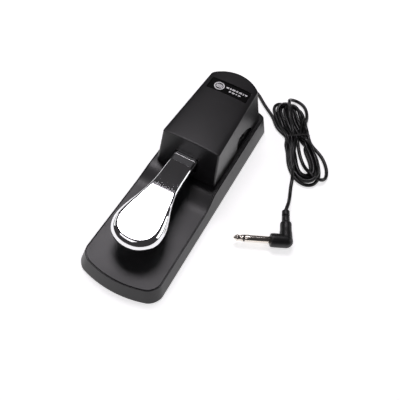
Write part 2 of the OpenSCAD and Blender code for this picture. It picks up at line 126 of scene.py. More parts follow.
def cord_route():
    low, high = 2.35, 5.8
    col = [-10.35, -6.9, -3.45, 0.0, 3.45, 6.9, 10.35]
    left = [(col[0], low), (col[0], high), (col[1], low), (col[1], high), (col[2], low), (col[3], low), (col[2], high)]
    right = [(col[4], low), (col[5], low), (col[6], low), (col[4], high), (col[5], high), (col[6], high)]
    route = [[-10, 121, 10], [-10, 126, 10], [-10, 131, 10], [-10, 135, 8.6], [-9.5, 140, 5], [-8, 145, 2.4], [-4, 149.4, 1.75], [2, 151.6, 1.75],
             [8, 150.6, 1.75], [13.5, 146.4, 1.75], [19.5, 141, 1.75], [26, 135.6, 1.75], [33, 130.2, 1.75], [40, 125, 1.75],
             [47, 119.2, 1.75], [54, 113.4, 1.9]]
    pins = []

    def through(w, z, down):
        for s in ((4, 0, -4) if down else (-4, 0, 4)):
            route.append(hank(s, w, z))
        pins.append((hank(0, w, z)))

    lowers = [lower_loop(0, 1.75, left[0][0], right[0][0]), lower_loop(3.5, 1.75, left[1][0], right[1][0]),
              lower_loop(7.0, 1.75, left[2][0], right[2][0]), lower_loop(1.7, 5.0, left[3][0], right[3][0]),
              lower_loop(5.2, 5.0, left[4][0], right[4][0]),
              [hank(-9, -0.8, 4.4), hank(-21, -1.8, 4.8), hank(-33, -1.2, 4.8), hank(-43, 0.6, 5.0), hank(-51, 4.2, 5.0), hank(-55.4, 9.6, 3.6),
               hank(-51.8, 15.4, 2.0), hank(-43.8, 19.2, 1.75), hank(-34, 20.4, 1.75), hank(-24, 19.2, 1.75),
               hank(-14, 15.0, 3.2), hank(-7.5, 9.6, 5.4)]]
    uppers = [upper_loop(-14.8, -0.8, 50.0, 1.75, right[0][0], left[1][0]), upper_loop(-12.2, 2.6, 46.5, 5.0, right[1][0], left[2][0]),
              upper_loop(-8.4, 6.4, 48.0, 1.75, right[2][0], left[3][0]), upper_loop(-5.2, 10.2, 45.0, 5.0, right[3][0], left[4][0]),
              upper_loop(-3.2, 13.4, 42.5, 1.75, right[4][0], left[5][0]),
              [hank(8, 8.6, 6.4), hank(15, 11.0, 6.4), hank(22.5, 14.6, 5.4), hank(30.5, 17.9, 3.2), hank(40, 18.6, 1.9), hank(48.0, 15.4, 1.9),
               hank(52.4, 9.6, 2.6), hank(50.4, 3.4, 5.6), hank(44, 0.0, 8.8), hank(33, -1.6, 9.0), hank(20, -2.6, 8.6), hank(10, -3.2, 7.0)]]
    for k in range(6):
        through(*left[k], True)
        route.extend(lowers[k])
        through(*right[k], False)
        route.extend(uppers[k])
    through(*left[6], True)
    route += [hank(-9, -5.8, 7.2), hank(-16, -8.6, 8.6), hank(-30, -12.2, 8.6), hank(-42, -14.6, 8.0), hank(-50, -16.2, 5.6), [84.8, 56.4, 3.2],
              [87.4, 49.2, 2.0], [89.2, 42.5, 2.6], [90.4, 36.5, 4.6], [91.0, 30.5, 6.1], [91.7, 24.7, 6.4], [93.6, 20.1, 6.4]]
    return route, pins


def settle(route, pins, step=2.6, rounds=400):
    """Lays the cord down: strands push each other apart, bend evenly and fall until they rest."""
    p = spline(route, step)
    home = p.copy()
    n = len(p)
    fixed = np.zeros(n, bool)
    fixed[:9] = True
    fixed[-6:] = True
    for pin in pins:
        d = np.linalg.norm(p - np.array(pin), axis=1)
        for i in np.where(d < 1.7)[0]:
            fixed[i] = True
    free = ~fixed
    index = np.arange(n)
    near = np.abs(index[:, None] - index[None, :]) < 4
    gap = 2 * CORD_R + 0.06
    for k in range(rounds):
        d = p[:, None, :] - p[None, :, :]
        r = np.sqrt((d ** 2).sum(2)) + 1e-9
        hit = (r < gap) & ~near
        push = np.where(hit, (gap - r) / r, 0.0)[:, :, None] * d
        count = hit.sum(1)
        move = 0.5 * push.sum(1) / np.maximum(count, 1)[:, None]
        a = np.zeros_like(p)
        a[1:-1] = 0.5 * (p[:-2] + p[2:]) - p[1:-1]
        b = np.zeros_like(p)
        b[1:-1] = 0.5 * (a[:-2] + a[2:]) - a[1:-1]
        move -= 0.22 * b
        # no strand bends tighter than its sheath allows
        h = np.full(n, step * step)
        h[1:-1] = 0.5 * (((p[2:] - p[1:-1]) ** 2).sum(1) + ((p[1:-1] - p[:-2]) ** 2).sum(1))
        bend = np.linalg.norm(a, axis=1)
        limit = h / (2 * 10.2)
        move += 0.34 * (np.maximum(bend - limit, 0) / np.maximum(bend, 1e-9))[:, None] * a
        move[:, :2] += (0.03 if k < 170 else 0.012) * (home - p)[:, :2]
        move[:, 2] -= 0.009 if k < rounds - 30 else 0.0
        p[free] += move[free]
        p[:, 2] = np.maximum(p[:, 2], CORD_R + 0.04)
        p[free, 2] = np.minimum(p[free, 2], 12.0)
    return resample(p, 2.0)


def tube(p, r, sides):
    """Round tube along p whose rings turn as little as they can."""
    t = np.gradient(p, axis=0)
    t /= np.linalg.norm(t, axis=1)[:, None]
    u = np.cross(t[0], [0, 0, 1.0])
    verts, faces = [], []
    for i in range(len(p)):
        u = u - t[i] * (u @ t[i])
        u /= np.linalg.norm(u)
        v = np.cross(t[i], u)
        for k in range(sides):
            a = 2 * math.pi * k / sides
            verts.append(p[i] + r * (math.cos(a) * u + math.sin(a) * v))
    n = len(p)
    for i in range(n - 1):
        for k in range(sides):
            j = (k + 1) % sides
            faces.append((i * sides + k, i * sides + j, (i + 1) * sides + j, (i + 1) * sides + k))
    faces.append(tuple(range(sides - 1, -1, -1)))
    faces.append(tuple(range((n - 1) * sides, n * sides)))
    return verts, faces


def make_cord():
    route, pins = cord_route()
    p = settle(route, pins)
    length = float(np.linalg.norm(np.diff(p, axis=0), axis=1).sum()) * MM
    verts, faces = tube(p, CORD_R, 14)
    me = bpy.data.meshes.new("cord")
    me.from_pydata([tuple(float(c) * MM for c in v) for v in verts], [], faces)
    me.polygons.foreach_set("use_smooth", [True] * len(me.polygons))
    me.set_sharp_from_angle(angle=math.radians(60))
    obj = bpy.data.objects.new("cord", me)
    scene.collection.objects.link(obj)
    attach(obj, "base")
    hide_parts("cable_lead", "cable_hank", "cable_tail")
    return obj, length, p * MM


cord, cord_length, cord_path = make_cord()


# ---------------------------------------------------------------- materials
def node(tree, kind, **values):
    n = tree.nodes.new(kind)
    for k, v in values.items():
        setattr(n, k, v)
    return n


def material(name, dark, light, rough, metallic=0.0, grain=(900.0, 0.25, 0.00012), patch=60.0, coat=0.0, ior=1.5,
             scratch=0.0, stretch=(1, 1, 1), specular=0.5, wear=None):
    """Procedural finish: two-tone patches, uneven roughness, grain bump, fine scratches and dull worn spots."""
    m = bpy.data.materials.new(name)
    m.use_nodes = True
    t = m.node_tree
    b = t.nodes["Principled BSDF"]
    link = t.links.new
    b.inputs["Metallic"].default_value = metallic
    b.inputs["IOR"].default_value = ior
    b.inputs["Specular IOR Level"].default_value = specular
    b.inputs["Coat Weight"].default_value = coat
    b.inputs["Coat Roughness"].default_value = 0.12
    co = node(t, "ShaderNodeTexCoord")
    mp = node(t, "ShaderNodeMapping")
    mp.inputs["Scale"].default_value = stretch
    link(co.outputs["Object"], mp.inputs["Vector"])

    def noise(scale, detail, vector=None):
        n = node(t, "ShaderNodeTexNoise")
        n.inputs["Scale"].default_value = scale
        n.inputs["Detail"].default_value = detail
        link((vector or co).outputs["Object" if vector is None else "Vector"], n.inputs["Vector"])
        return n.outputs["Fac"]

    def remap(fac, a, c, lo, hi):
        r = node(t, "ShaderNodeMapRange")
        r.inputs["From Min"].default_value = a
        r.inputs["From Max"].default_value = c
        r.inputs["To Min"].default_value = lo
        r.inputs["To Max"].default_value = hi
        link(fac, r.inputs["Value"])
        return r.outputs["Result"]

    blotch = noise(patch, 4.0)
    ramp = node(t, "ShaderNodeValToRGB")
    ramp.color_ramp.elements[0].position = 0.34
    ramp.color_ramp.elements[1].position = 0.68
    ramp.color_ramp.elements[0].color = (*dark, 1)
    ramp.color_ramp.elements[1].color = (*light, 1)
    link(blotch, ramp.inputs["Fac"])
    colour = ramp.outputs["Color"]
    fine = noise(grain[0], 3.0, mp)
    smear = noise(patch * 0.55, 5.0, mp)
    value = remap(smear, 0.3, 0.72, rough[0], rough[1])
    if scratch:
        w = node(t, "ShaderNodeTexWave", wave_type="BANDS", bands_direction="DIAGONAL")
        w.inputs["Scale"].default_value = 260.0
        w.inputs["Distortion"].default_value = 34.0
        w.inputs["Detail"].default_value = 3.0
        w.inputs["Detail Scale"].default_value = 1.6
        link(co.outputs["Object"], w.inputs["Vector"])
        lines = remap(w.outputs["Fac"], 0.972, 1.0, 0.0, scratch)
        add = node(t, "ShaderNodeMath", operation="ADD")
        link(value, add.inputs[0])
        link(lines, add.inputs[1])
        value = add.outputs[0]
    if wear:
        spots = remap(noise(wear[0], 6.0), 0.66, 0.78, 0.0, wear[1])
        add = node(t, "ShaderNodeMath", operation="ADD")
        link(value, add.inputs[0])
        link(spots, add.inputs[1])
        value = add.outputs[0]
    link(value, b.inputs["Roughness"])
    bump = node(t, "ShaderNodeBump")
    bump.inputs["Strength"].default_value = grain[1]
    bump.inputs["Distance"].default_value = grain[2]
    link(fine, bump.inputs["Height"])
    link(bump.outputs["Normal"], b.inputs["Normal"])
    link(colour, b.inputs["Base Color"])
    return m


MAT = {
    "abs_base": material("abs_base", (0.0054, 0.0050, 0.0060), (0.0074, 0.0069, 0.0081), (0.34, 0.43), grain=(1500.0, 0.35, 0.00010), patch=28.0, wear=(240.0, 0.12), scratch=0.05),
    "abs_cover": material("abs_cover", (0.0052, 0.0048, 0.0058), (0.0072, 0.0067, 0.0079), (0.29, 0.37), grain=(1500.0, 0.28, 0.00010), patch=24.0, wear=(260.0, 0.12), scratch=0.05),
    "badge_gloss": material("badge_gloss", (0.004, 0.004, 0.004), (0.007, 0.007, 0.008), (0.06, 0.14), grain=(2200.0, 0.05, 0.00004), patch=70.0, coat=0.4, scratch=0.10),
    "mark": material("mark", (0.86, 0.86, 0.87), (0.93, 0.93, 0.94), (0.30, 0.45), metallic=0.2, grain=(2600.0, 0.12, 0.00004), patch=150.0),
    "lever_chrome": material("lever_chrome", (0.86, 0.87, 0.88), (0.91, 0.91, 0.92), (0.026, 0.038), metallic=1.0, grain=(420.0, 0.001, 0.00001), patch=26.0, scratch=0.003, wear=(420.0, 0.02)),
    "zinc_steel": material("zinc_steel", (0.50, 0.48, 0.40), (0.64, 0.62, 0.55), (0.26, 0.42), metallic=1.0, grain=(900.0, 0.16, 0.00008), patch=90.0, scratch=0.12),
    "plate_steel": material("plate_steel", (0.42, 0.43, 0.45), (0.56, 0.57, 0.59), (0.28, 0.44), metallic=1.0, grain=(700.0, 0.16, 0.00008), patch=46.0, stretch=(1, 0.08, 1), scratch=0.14, wear=(160.0, 0.16)),
    "screw_steel": material("screw_steel", (0.45, 0.45, 0.47), (0.62, 0.62, 0.63), (0.24, 0.40), metallic=1.0, grain=(1600.0, 0.20, 0.00006), patch=240.0, wear=(600.0, 0.2)),
    "spring_steel": material("spring_steel", (0.40, 0.40, 0.42), (0.56, 0.56, 0.58), (0.22, 0.36), metallic=1.0, grain=(2000.0, 0.18, 0.00005), patch=240.0),
    "nylon": material("nylon", (0.70, 0.68, 0.60), (0.78, 0.76, 0.70), (0.38, 0.52), grain=(1500.0, 0.2, 0.00006), patch=160.0),
    "rubber_black": material("rubber_black", (0.010, 0.010, 0.010), (0.020, 0.020, 0.020), (0.66, 0.84), grain=(1100.0, 0.5, 0.00016), patch=60.0, wear=(200.0, 0.08)),
    "switch_black": material("switch_black", (0.012, 0.012, 0.013), (0.022, 0.022, 0.023), (0.34, 0.50), grain=(1900.0, 0.25, 0.00006), patch=140.0),
    "switch_red": material("switch_red", (0.42, 0.02, 0.015), (0.55, 0.04, 0.03), (0.30, 0.44), grain=(1900.0, 0.2, 0.00005), patch=200.0),
    "contact_metal": material("contact_metal", (0.66, 0.60, 0.44), (0.78, 0.74, 0.62), (0.20, 0.34), metallic=1.0, grain=(1900.0, 0.15, 0.00005), patch=200.0),
    "board_green": material("board_green", (0.010, 0.070, 0.028), (0.016, 0.110, 0.045), (0.28, 0.42), grain=(1400.0, 0.25, 0.00006), patch=120.0, coat=0.3),
    "wire_pvc": material("wire_pvc", (0.35, 0.03, 0.03), (0.46, 0.05, 0.05), (0.34, 0.46), grain=(1800.0, 0.2, 0.00005), patch=140.0),
    "cord_pvc": material("cord_pvc", (0.0035, 0.0035, 0.0038), (0.0055, 0.0055, 0.0058), (0.30, 0.42), grain=(1300.0, 0.28, 0.00008), patch=60.0, wear=(300.0, 0.10)),
    "plug_pvc": material("plug_pvc", (0.0045, 0.0045, 0.0048), (0.0065, 0.0065, 0.0070), (0.40, 0.52), grain=(1500.0, 0.35, 0.00010), patch=80.0, wear=(400.0, 0.10)),
    "plug_nickel": material("plug_nickel", (0.80, 0.74, 0.66), (0.86, 0.81, 0.74), (0.15, 0.21), metallic=1.0, grain=(900.0, 0.02, 0.00003), patch=120.0, stretch=(0.2, 1, 1), scratch=0.05),
}


# ---------------------------------------------------------------- mesh helpers
def finish_mesh(name, verts, faces, mat, body="base", replaces=(), slot=None, sharp=32, scale=MM):
    me = bpy.data.meshes.new(name)
    me.from_pydata([tuple(float(c) * scale for c in v) for v in verts], [], [tuple(f) for f in faces])
    me.validate()
    me.update()
    obj = bpy.data.objects.new(name, me)
    scene.collection.objects.link(obj)
    me.materials.append(MAT[mat])
    smooth(me, sharp)
    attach(obj, body)
    if replaces:
        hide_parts(*replaces)
    return obj


def smooth(me, angle):
    me.polygons.foreach_set("use_smooth", [True] * len(me.polygons))
    if angle:
        me.set_sharp_from_angle(angle=math.radians(angle))


def half_outline(front, rear, side=60, arc=14, corner=8):
    """Right half of a plan outline, from the middle of its front end to the middle of its rear end. Each end is (half width, y of its corners, bow, corner radius)."""
    (hf, yf, sf, rf), (hb, yb, sb, rb) = front, rear

    def end_arc(h, y, s, sign, cut):
        big = (h * h + s * s) / (2 * s)
        x = np.linspace(0, h - cut, arc)
        return np.stack([x, y + sign * (np.sqrt(big * big - x * x) - (big - s))], 1)

    a = end_arc(hf, yf, sf, -1, rf)
    b = end_arc(hb, yb, sb, 1, rb)[::-1]
    A, B = np.array([hf, yf]), np.array([hb, yb])
    d = (B - A) / np.linalg.norm(B - A)
    p, q = A + d * rf, B - d * rb
    t = np.linspace(0, 1, corner + 2)[1:-1, None]

    def bend(start, c, stop):
        k = 0.72  # fuller than a parabola, close to a circle
        w = 1 / math.sqrt(2) * k / 0.72
        num = (1 - t) ** 2 * start + 2 * t * (1 - t) * w * c + t ** 2 * stop
        return num / ((1 - t) ** 2 + 2 * t * (1 - t) * w + t ** 2)

    line = p + np.linspace(0, 1, side)[:, None] * (q - p)
    return np.vstack([a, bend(a[-1], A, p), line, bend(q, B, b[0]), b])


def whole(half):
    """Closed outline, counter-clockwise from above, from a right half whose first and last points lie on the centreline."""
    left = half[1:-1][::-1] * np.array([-1, 1])
    return np.vstack([half, left])


def inset(outline, d):
    """Outline moved inwards by d, which may be one value or one for each point."""
    t = np.roll(outline, -1, 0) - np.roll(outline, 1, 0)
    t /= np.linalg.norm(t, axis=1)[:, None]
    n = np.stack([t[:, 1], -t[:, 0]], 1)
    return outline - n * np.broadcast_to(np.asarray(d, float), (len(outline),))[:, None]


def ring(outline, z):
    return np.column_stack([outline, np.broadcast_to(np.asarray(z, float), (len(outline),))])


def loft(rings, low_cap=None, high_cap=None, across=1):
    """Skin over rings of equal count, ordered from one closed end to the other; a cap function gives z at (x, y) across the end."""
    m = len(rings[0])
    verts = [tuple(v) for r in rings for v in r]
    faces = []
    for k in range(len(rings) - 1):
        for i in range(m):
            j = (i + 1) % m
            faces.append((k * m + i, k * m + j, (k + 1) * m + j, (k + 1) * m + i))

    def cap(base, height, up):
        half = m // 2
        rows = []
        for i in range(half + 1):
            r, l = base + i, base + (m - i) % m
            if i in (0, half):
                rows.append([r])
                continue
            row = [r]
            a, b = np.array(verts[r]), np.array(verts[l])
            for c in range(1, across):
                q = a + (b - a) * c / across
                q[2] = height(q[0], q[1])
                verts.append(tuple(q))
                row.append(len(verts) - 1)
            row.append(l)
            rows.append(row)
        for i in range(half):
            p, q = rows[i], rows[i + 1]
            for c in range(across):
                if len(p) == 1:
                    f = [p[0], q[c], q[c + 1]]
                elif len(q) == 1:
                    f = [p[c], q[0], p[c + 1]]
                else:
                    f = [p[c], q[c], q[c + 1], p[c + 1]]
                faces.append(tuple(f if up else f[::-1]))

    if low_cap:
        cap(0, low_cap, False)
    if high_cap:
        cap((len(rings) - 1) * m, high_cap, True)
    return verts, faces


def smoothstep(t):
    t = np.clip(t, 0, 1)
    return t * t * (3 - 2 * t)


def box_mesh(x, y, z):
    v = [(a, b, c) for c in z for b in y for a in x]
    f = [(0, 2, 3, 1), (4, 5, 7, 6), (0, 1, 5, 4), (2, 6, 7, 3), (0, 4, 6, 2), (1, 3, 7, 5)]
    return v, f


# ---------------------------------------------------------------- base
def deck(y):
    return 14.1 + 5.3 * smoothstep((np.asarray(y, float) + 22) / 24)


def make_base():
    rim = whole(half_outline((37.4, -106.6, 8.0, 8.5), (37.4, 106.3, 8.0, 2.5)))
    top = whole(half_outline((33.0, -101.5, 7.8, 8.0), (33.0, 104.9, 8.0, 2.5)))

    def level(z):
        z = np.broadcast_to(np.asarray(z, float), (len(rim),))
        f = ((z - 0.8) / 18.6)[:, None]
        return rim + (top - rim) * f

    def at_deck(drop):
        z = deck(rim[:, 1]) - drop
        for _ in range(3):
            z = deck(level(z)[:, 1]) - drop
        return z

    r = 0.5
    rings = [ring(inset(level(9.0), 2.3), 9.0), ring(inset(level(0.8), 2.3), 0.8), ring(inset(level(0.8), 0.6), 0.8), ring(inset(level(0.8), 0.15), 0.92), ring(level(1.3), 1.3)]
    zt = at_deck(r)
    for f in (0.12, 0.3, 0.5, 0.7, 0.88, 1.0):
        z = 1.3 + (zt - 1.3) * f
        rings.append(ring(level(z), z))
    edge = level(zt)
    for a in (22.5, 45, 67.5, 90):
        a = math.radians(a)
        rings.append(ring(inset(edge, r * (1 - math.cos(a))), zt + r * math.sin(a)))
    for d, dz in ((0.62, 0.02), (0.72, 0.16), (0.78, 0.85), (1.28, 0.85), (1.34, 0.16), (1.5, 0.0)):
        o = inset(edge, d)
        rings.append(ring(o, deck(o[:, 1]) - dz))
    verts, faces = loft(rings, None, lambda x, y: float(deck(y)), across=6)
    return finish_mesh("base_moulding", verts, faces, "abs_base", replaces=["base_shell"], sharp=34)


make_base()


# ---------------------------------------------------------------- housing
def crown(x):
    big = (26.4 ** 2 + 1.5 ** 2) / 3.0
    return 57.1 + 1.5 - (big - np.sqrt(big * big - np.asarray(x, float) ** 2))


def make_cover():
    foot = whole(half_outline((28.9, 4.3, 0.02, 2.0), (29.3, 101.3, 9.0, 2.0), side=24, arc=16))
    roof = whole(half_outline((26.4, 8.4, 0.02, 1.5), (23.3, 93.8, 10.2, 1.5), side=24, arc=16))

    def level(z):
        z = np.broadcast_to(np.asarray(z, float), (len(foot),))
        return foot + (roof - foot) * ((z - 19.4) / 37.7)[:, None]

    r = 0.8
    zt = crown(roof[:, 0]) - r
    rings = []
    inner_z = [53.5, 40.0, 38.0, 22.0, 19.45]
    inner_d = [2.4, 2.4, 4.2, 4.2, 4.2]
    for z, d in zip(inner_z, inner_d):
        rings.append(ring(inset(level(z), d), z))
    rings += [ring(inset(level(19.45), 0.35), 19.45), ring(inset(level(19.8), 0.32), 19.8), ring(level(20.0), 20.0)]
    for f in (0.25, 0.5, 0.75, 0.985, 1.0):
        z = 20.0 + (zt - 20.0) * f
        rings.append(ring(level(z), z))
    edge = level(zt)
    for a in (22.5, 45, 67.5, 90):
        a = math.radians(a)
        rings.append(ring(inset(edge, r * (1 - math.cos(a))), zt + r * math.sin(a)))
    rings.append(ring(inset(edge, r + 0.5), crown(inset(edge, r + 0.5)[:, 0])))
    verts, faces = loft(rings, lambda x, y: 53.5 + 0.0 * x, lambda x, y: float(crown(x)), across=12)
    obj = finish_mesh("cover_moulding", verts, faces, "abs_cover", replaces=["top_cover"], sharp=30)

    cutters = []

    def cutter(name, v, f, width=0.0):
        me = bpy.data.meshes.new(name)
        me.from_pydata([tuple(c * MM for c in p) for p in v], [], f)
        b = bmesh.new()
        b.from_mesh(me)
        bmesh.ops.recalc_face_normals(b, faces=b.faces)
        b.to_mesh(me)
        b.free()
        c = bpy.data.objects.new(name, me)
        scene.collection.objects.link(c)
        if width:
            b = c.modifiers.new("b", "BEVEL")
            b.width = width * MM
            b.segments = 4
            b.limit_method = "ANGLE"
        mod = obj.modifiers.new(name, "BOOLEAN")
        mod.operation = "DIFFERENCE"
        mod.solver = "EXACT"
        mod.object = c
        cutters.append(c)

    cutter("cut_slot", *box_mesh((-12.5, 9.5), (-2.0, 12.5), (27.2, 42.4)), width=0.7)
    yz = [(50, 21.2), (50, 33.5), (53.5, 35.8), (60, 34.8), (71, 31.6), (82, 24.5), (82, 21.2)]
    n = len(yz)
    v = [(25.6, a, b) for a, b in yz] + [(34.0, a, b) for a, b in yz]
    f = [tuple(range(n)), tuple(range(2 * n - 1, n - 1, -1))] + [(i, i + n, (i + 1) % n + n, (i + 1) % n) for i in range(n)]
    cutter("cut_scoop", v, [q[::-1] for q in f], width=0.9)
    cutter("cut_window", *box_mesh((20.0, 30.0), (59.6, 70.4), (26.6, 30.8)), width=0.0)
    cutter("cut_badge", *box_mesh((-19.7, 19.7), (73.8, 88.2), (57.0, 62.0)), width=0.35)
    bpy.context.view_layer.update()
    dg = bpy.context.evaluated_depsgraph_get()
    cut = bpy.data.meshes.new_from_object(obj.evaluated_get(dg))
    obj.modifiers.clear()
    old = obj.data
    obj.data = cut
    bpy.data.meshes.remove(old)
    for c in cutters:
        bpy.data.objects.remove(c)
    cut.materials.clear()
    cut.materials.append(MAT["abs_cover"])
    for p in cut.polygons:
        p.material_index = 0
    smooth(cut, 30)
    return obj


cover = make_cover()


# ---------------------------------------------------------------- badge
def rounded_rect(cx, cy, hx, hy, r, n=6):
    pts = []
    for sx, sy, a0 in ((1, -1, -90), (1, 1, 0), (-1, 1, 90), (-1, -1, 180)):
        for k in range(n + 1):
            a = math.radians(a0 + 90 * k / n)
            pts.append((cx + sx * (hx - r) + r * math.cos(a), cy + sy * (hy - r) + r * math.sin(a)))
    return pts


def pad(outline, z0, z1, bevel):
    """Flat raised shape with a soft top edge."""
    o = np.array(outline, float)
    m = len(o)
    rings = [ring(o, z0), ring(o, z1 - bevel), ring(inset(o, 0.3 * bevel), z1 - 0.3 * bevel), ring(inset(o, bevel), z1)]
    verts = [tuple(v) for r in rings for v in r]
    faces = [(k * m + i, k * m + (i + 1) % m, (k + 1) * m + (i + 1) % m, (k + 1) * m + i) for k in range(3) for i in range(m)]
    faces.append(tuple(range(3 * m, 4 * m)))
    faces.append(tuple(range(m - 1, -1, -1)))
    return verts, faces


def join(parts):
    verts, faces = [], []
    for v, f in parts:
        k = len(verts)
        verts += v
        faces += [tuple(i + k for i in q) for q in f]
    return verts, faces


def make_badge():
    v, f = pad(rounded_rect(0, 81, 19.4, 6.9, 1.8), 57.0, 57.7, 0.25)
    finish_mesh("badge", v, f, "badge_gloss", replaces=["badge_plate"], sharp=12)
    parts = []
    z0, z1, b = 57.66, 57.78, 0.04

    def disc(cx, cy, r, n=40):
        return [(cx + r * math.cos(2 * math.pi * k / n), cy + r * math.sin(2 * math.pi * k / n)) for k in range(n)]

    # ring with a small keyboard in it
    cx, cy = -9.6, 81.0
    o, i = np.array(disc(cx, cy, 4.9)), np.array(disc(cx, cy, 3.75))
    m = len(o)
    verts = [tuple(v) for r in (ring(o, z0), ring(o, z1), ring(i, z1), ring(i, z0)) for v in r]
    faces = [(k * m + a, k * m + (a + 1) % m, (k + 1) * m + (a + 1) % m, (k + 1) * m + a) for k in range(3) for a in range(m)]
    parts.append((verts, faces))
    for k in range(5):
        x = cx - 2.44 + 1.22 * k
        h = 2.3 if k in (1, 2, 3) else 1.9
        parts.append(pad(rounded_rect(x, cy, 0.50, h, 0.12, 2), z0, z1, b))
    # two rows of short plain bars
    x = -3.2
    for w in (2.6, 1.5, 3.0, 2.0, 2.8, 1.3, 2.2):
        parts.append(pad(rounded_rect(x + w / 2, 82.8, w / 2, 0.95, 0.3, 2), z0, z1, b))
        x += w + 0.85
    x = 1.0
    for w in (1.8, 2.9, 1.4, 2.5):
        parts.append(pad(rounded_rect(x + w / 2, 79.2, w / 2, 0.8, 0.25, 2), z0, z1, b))
        x += w + 0.9
    v, f = join(parts)
    finish_mesh("badge_mark", v, f, "mark", slot="badge_gloss", sharp=12)


make_badge()


# ---------------------------------------------------------------- lever
LEVER_X, LEVER_Z, LEVER_D, SHEET = -1.5, 42.0, 8.5, 1.6
LEVER_HALF = [(0, -91.2), (7.6, -90.1), (13.4, -87.1), (18.1, -82.3), (20.8, -76.1), (21.5, -70), (20.7, -62.5), (18.5, -55), (15.0, -45.5),
              (12.1, -34), (11.0, -22), (10.7, -10), (10.6, 2), (10.6, 20), (10.6, 47.9)]


def make_lever():
    pts = [(-7.6, -90.1, 0)] + [(x, y, 0) for x, y in LEVER_HALF]
    full = spline(pts, 0.5)[:, :2]
    full = full[np.where(full[:, 0] >= 0)[0][0]:]
    full[0] = (0, full[0][1])
    # closer points round the spoon, wider ones along the arm
    run = np.concatenate([[0], np.cumsum(np.linalg.norm(np.diff(full, axis=0), axis=1))])
    want = np.concatenate([np.linspace(0, 60, 64, endpoint=False), np.linspace(60, run[-1], 60)])
    half = np.stack([np.interp(want, run, full[:, k]) for k in (0, 1)], 1)
    tail = np.array([[8.5, 48.0], [5.0, 48.0], [0, 48.0]])
    half = np.vstack([half, tail])
    outline = whole(half)
    spoon = smoothstep((-36 - outline[:, 1]) / 30)
    arm_rim = [(0.0, 5.0), (0.0, 3.4), (0.0, 2.3), (0.05, 1.7), (0.18, 1.2), (0.40, 0.8), (0.70, 0.48), (1.05, 0.24), (1.4, 0.09), (1.75, 0.02), (2.05, 0.0), (2.4, 0.0)]
    spoon_rim = [(0.0, 6.9), (0.10, 5.9), (0.42, 4.7), (0.90, 3.6), (1.45, 2.7), (2.1, 1.9), (2.9, 1.15), (3.6, 0.62), (4.3, 0.26), (5.0, 0.07), (5.6, 0.0), (6.2, 0.0)]

    def rounded(p):
        p = np.array(p, float)
        q = [p[0]]
        for a, b in zip(p[:-1], p[1:]):
            q += [0.75 * a + 0.25 * b, 0.25 * a + 0.75 * b]
        return np.array(q + [p[-1]])

    arm_rim, spoon_rim = rounded(rounded(arm_rim)), rounded(rounded(spoon_rim))
    rings = []
    under = LEVER_Z - SHEET
    rings.append(ring(inset(outline, SHEET + 0.9 + 3.2 * spoon), under))
    rings.append(ring(inset(outline, SHEET + 0.2 + 2.2 * spoon), under - 0.35 - 0.7 * spoon))
    rings.append(ring(inset(outline, SHEET + 0.5 * spoon), under - 1.0 - 3.0 * spoon))
    rings.append(ring(inset(outline, SHEET), LEVER_Z - LEVER_D + 0.25))
    rings.append(ring(inset(outline, SHEET - 0.3), LEVER_Z - LEVER_D))
    rings.append(ring(inset(outline, 0.35), LEVER_Z - LEVER_D))
    rings.append(ring(inset(outline, 0.08), LEVER_Z - LEVER_D + 0.12))
    rings.append(ring(outline, LEVER_Z - LEVER_D + 0.45))
    for (da, za), (ds, zs) in zip(arm_rim, spoon_rim):
        rings.append(ring(inset(outline, da + (ds - da) * spoon), LEVER_Z - (za + (zs - za) * spoon)))
    rings = [q + np.array([LEVER_X, 0, 0]) for q in rings]
    verts, faces = loft(rings, lambda x, y: under, lambda x, y: LEVER_Z, across=8)
    finish_mesh("lever", verts, faces, "lever_chrome", body="pedal", replaces=["pedal_lever"], sharp=0)


make_lever()


def make_lip():
    """Fine raised edge across the arm where it meets the housing."""
    prof = [(3.55, -0.2), (3.55, 0.02), (3.62, 0.13), (3.8, 0.22), (4.0, 0.25), (4.2, 0.22), (4.38, 0.13), (4.45, 0.02), (4.45, -0.2)]
    xs = [LEVER_X + 9.75 * f for f in (-1.0, -0.985, -0.95, -0.5, 0.0, 0.5, 0.95, 0.985, 1.0)]
    low = [0.16, 0.04, 0.0, 0.0, 0.0, 0.0, 0.0, 0.04, 0.16]
    m = len(prof)
    verts = [(x, y, LEVER_Z + min(z, z - d if z > 0 else z)) for x, d in zip(xs, low) for y, z in prof]
    faces = [(i * m + k, (i + 1) * m + k, (i + 1) * m + (k + 1) % m, i * m + (k + 1) % m) for i in range(len(xs) - 1) for k in range(m)]
    faces += [tuple(range(m)), tuple(range(len(verts) - 1, len(verts) - m - 1, -1))]
    finish_mesh("lever_lip", verts, faces, "lever_chrome", body="pedal", slot="lever_chrome", sharp=0)


make_lip()


# ---------------------------------------------------------------- plug, gland, tie
def revolve(profile, seg=56):
    """Profile of (radius, distance along) turned about +X."""
    verts, faces = [], []
    n = len(profile)
    for r, x in profile:
        for k in range(seg):
            a = 2 * math.pi * k / seg
            verts.append((x, r * math.cos(a), r * math.sin(a)))
    for i in range(n - 1):
        for k in range(seg):
            j = (k + 1) % seg
            faces.append((i * seg + k, (i + 1) * seg + k, (i + 1) * seg + j, i * seg + j))
    faces.append(tuple(range(seg)))
    faces.append(tuple(range(n * seg - 1, (n - 1) * seg - 1, -1)))
    return verts, faces


def laid(part, at, direction, extra=0.0):
    v, f = part
    c, s = math.cos(math.radians(direction)), math.sin(math.radians(direction))
    return [(at[0] + x * c - y * s, at[1] + x * s + y * c, at[2] + z) for x, y, z in v], f


PLUG_AT = (62.9, -23.8, 6.4)
PLUG_DIR, PLUG_LEN, ELBOW = 26.0, 31.75, 13.5
ARM_DIR = PLUG_DIR + 86.5
ELBOW_AT = (PLUG_AT[0] + (PLUG_LEN + ELBOW) * math.cos(math.radians(PLUG_DIR)),
            PLUG_AT[1] + (PLUG_LEN + ELBOW) * math.sin(math.radians(PLUG_DIR)), PLUG_AT[2])


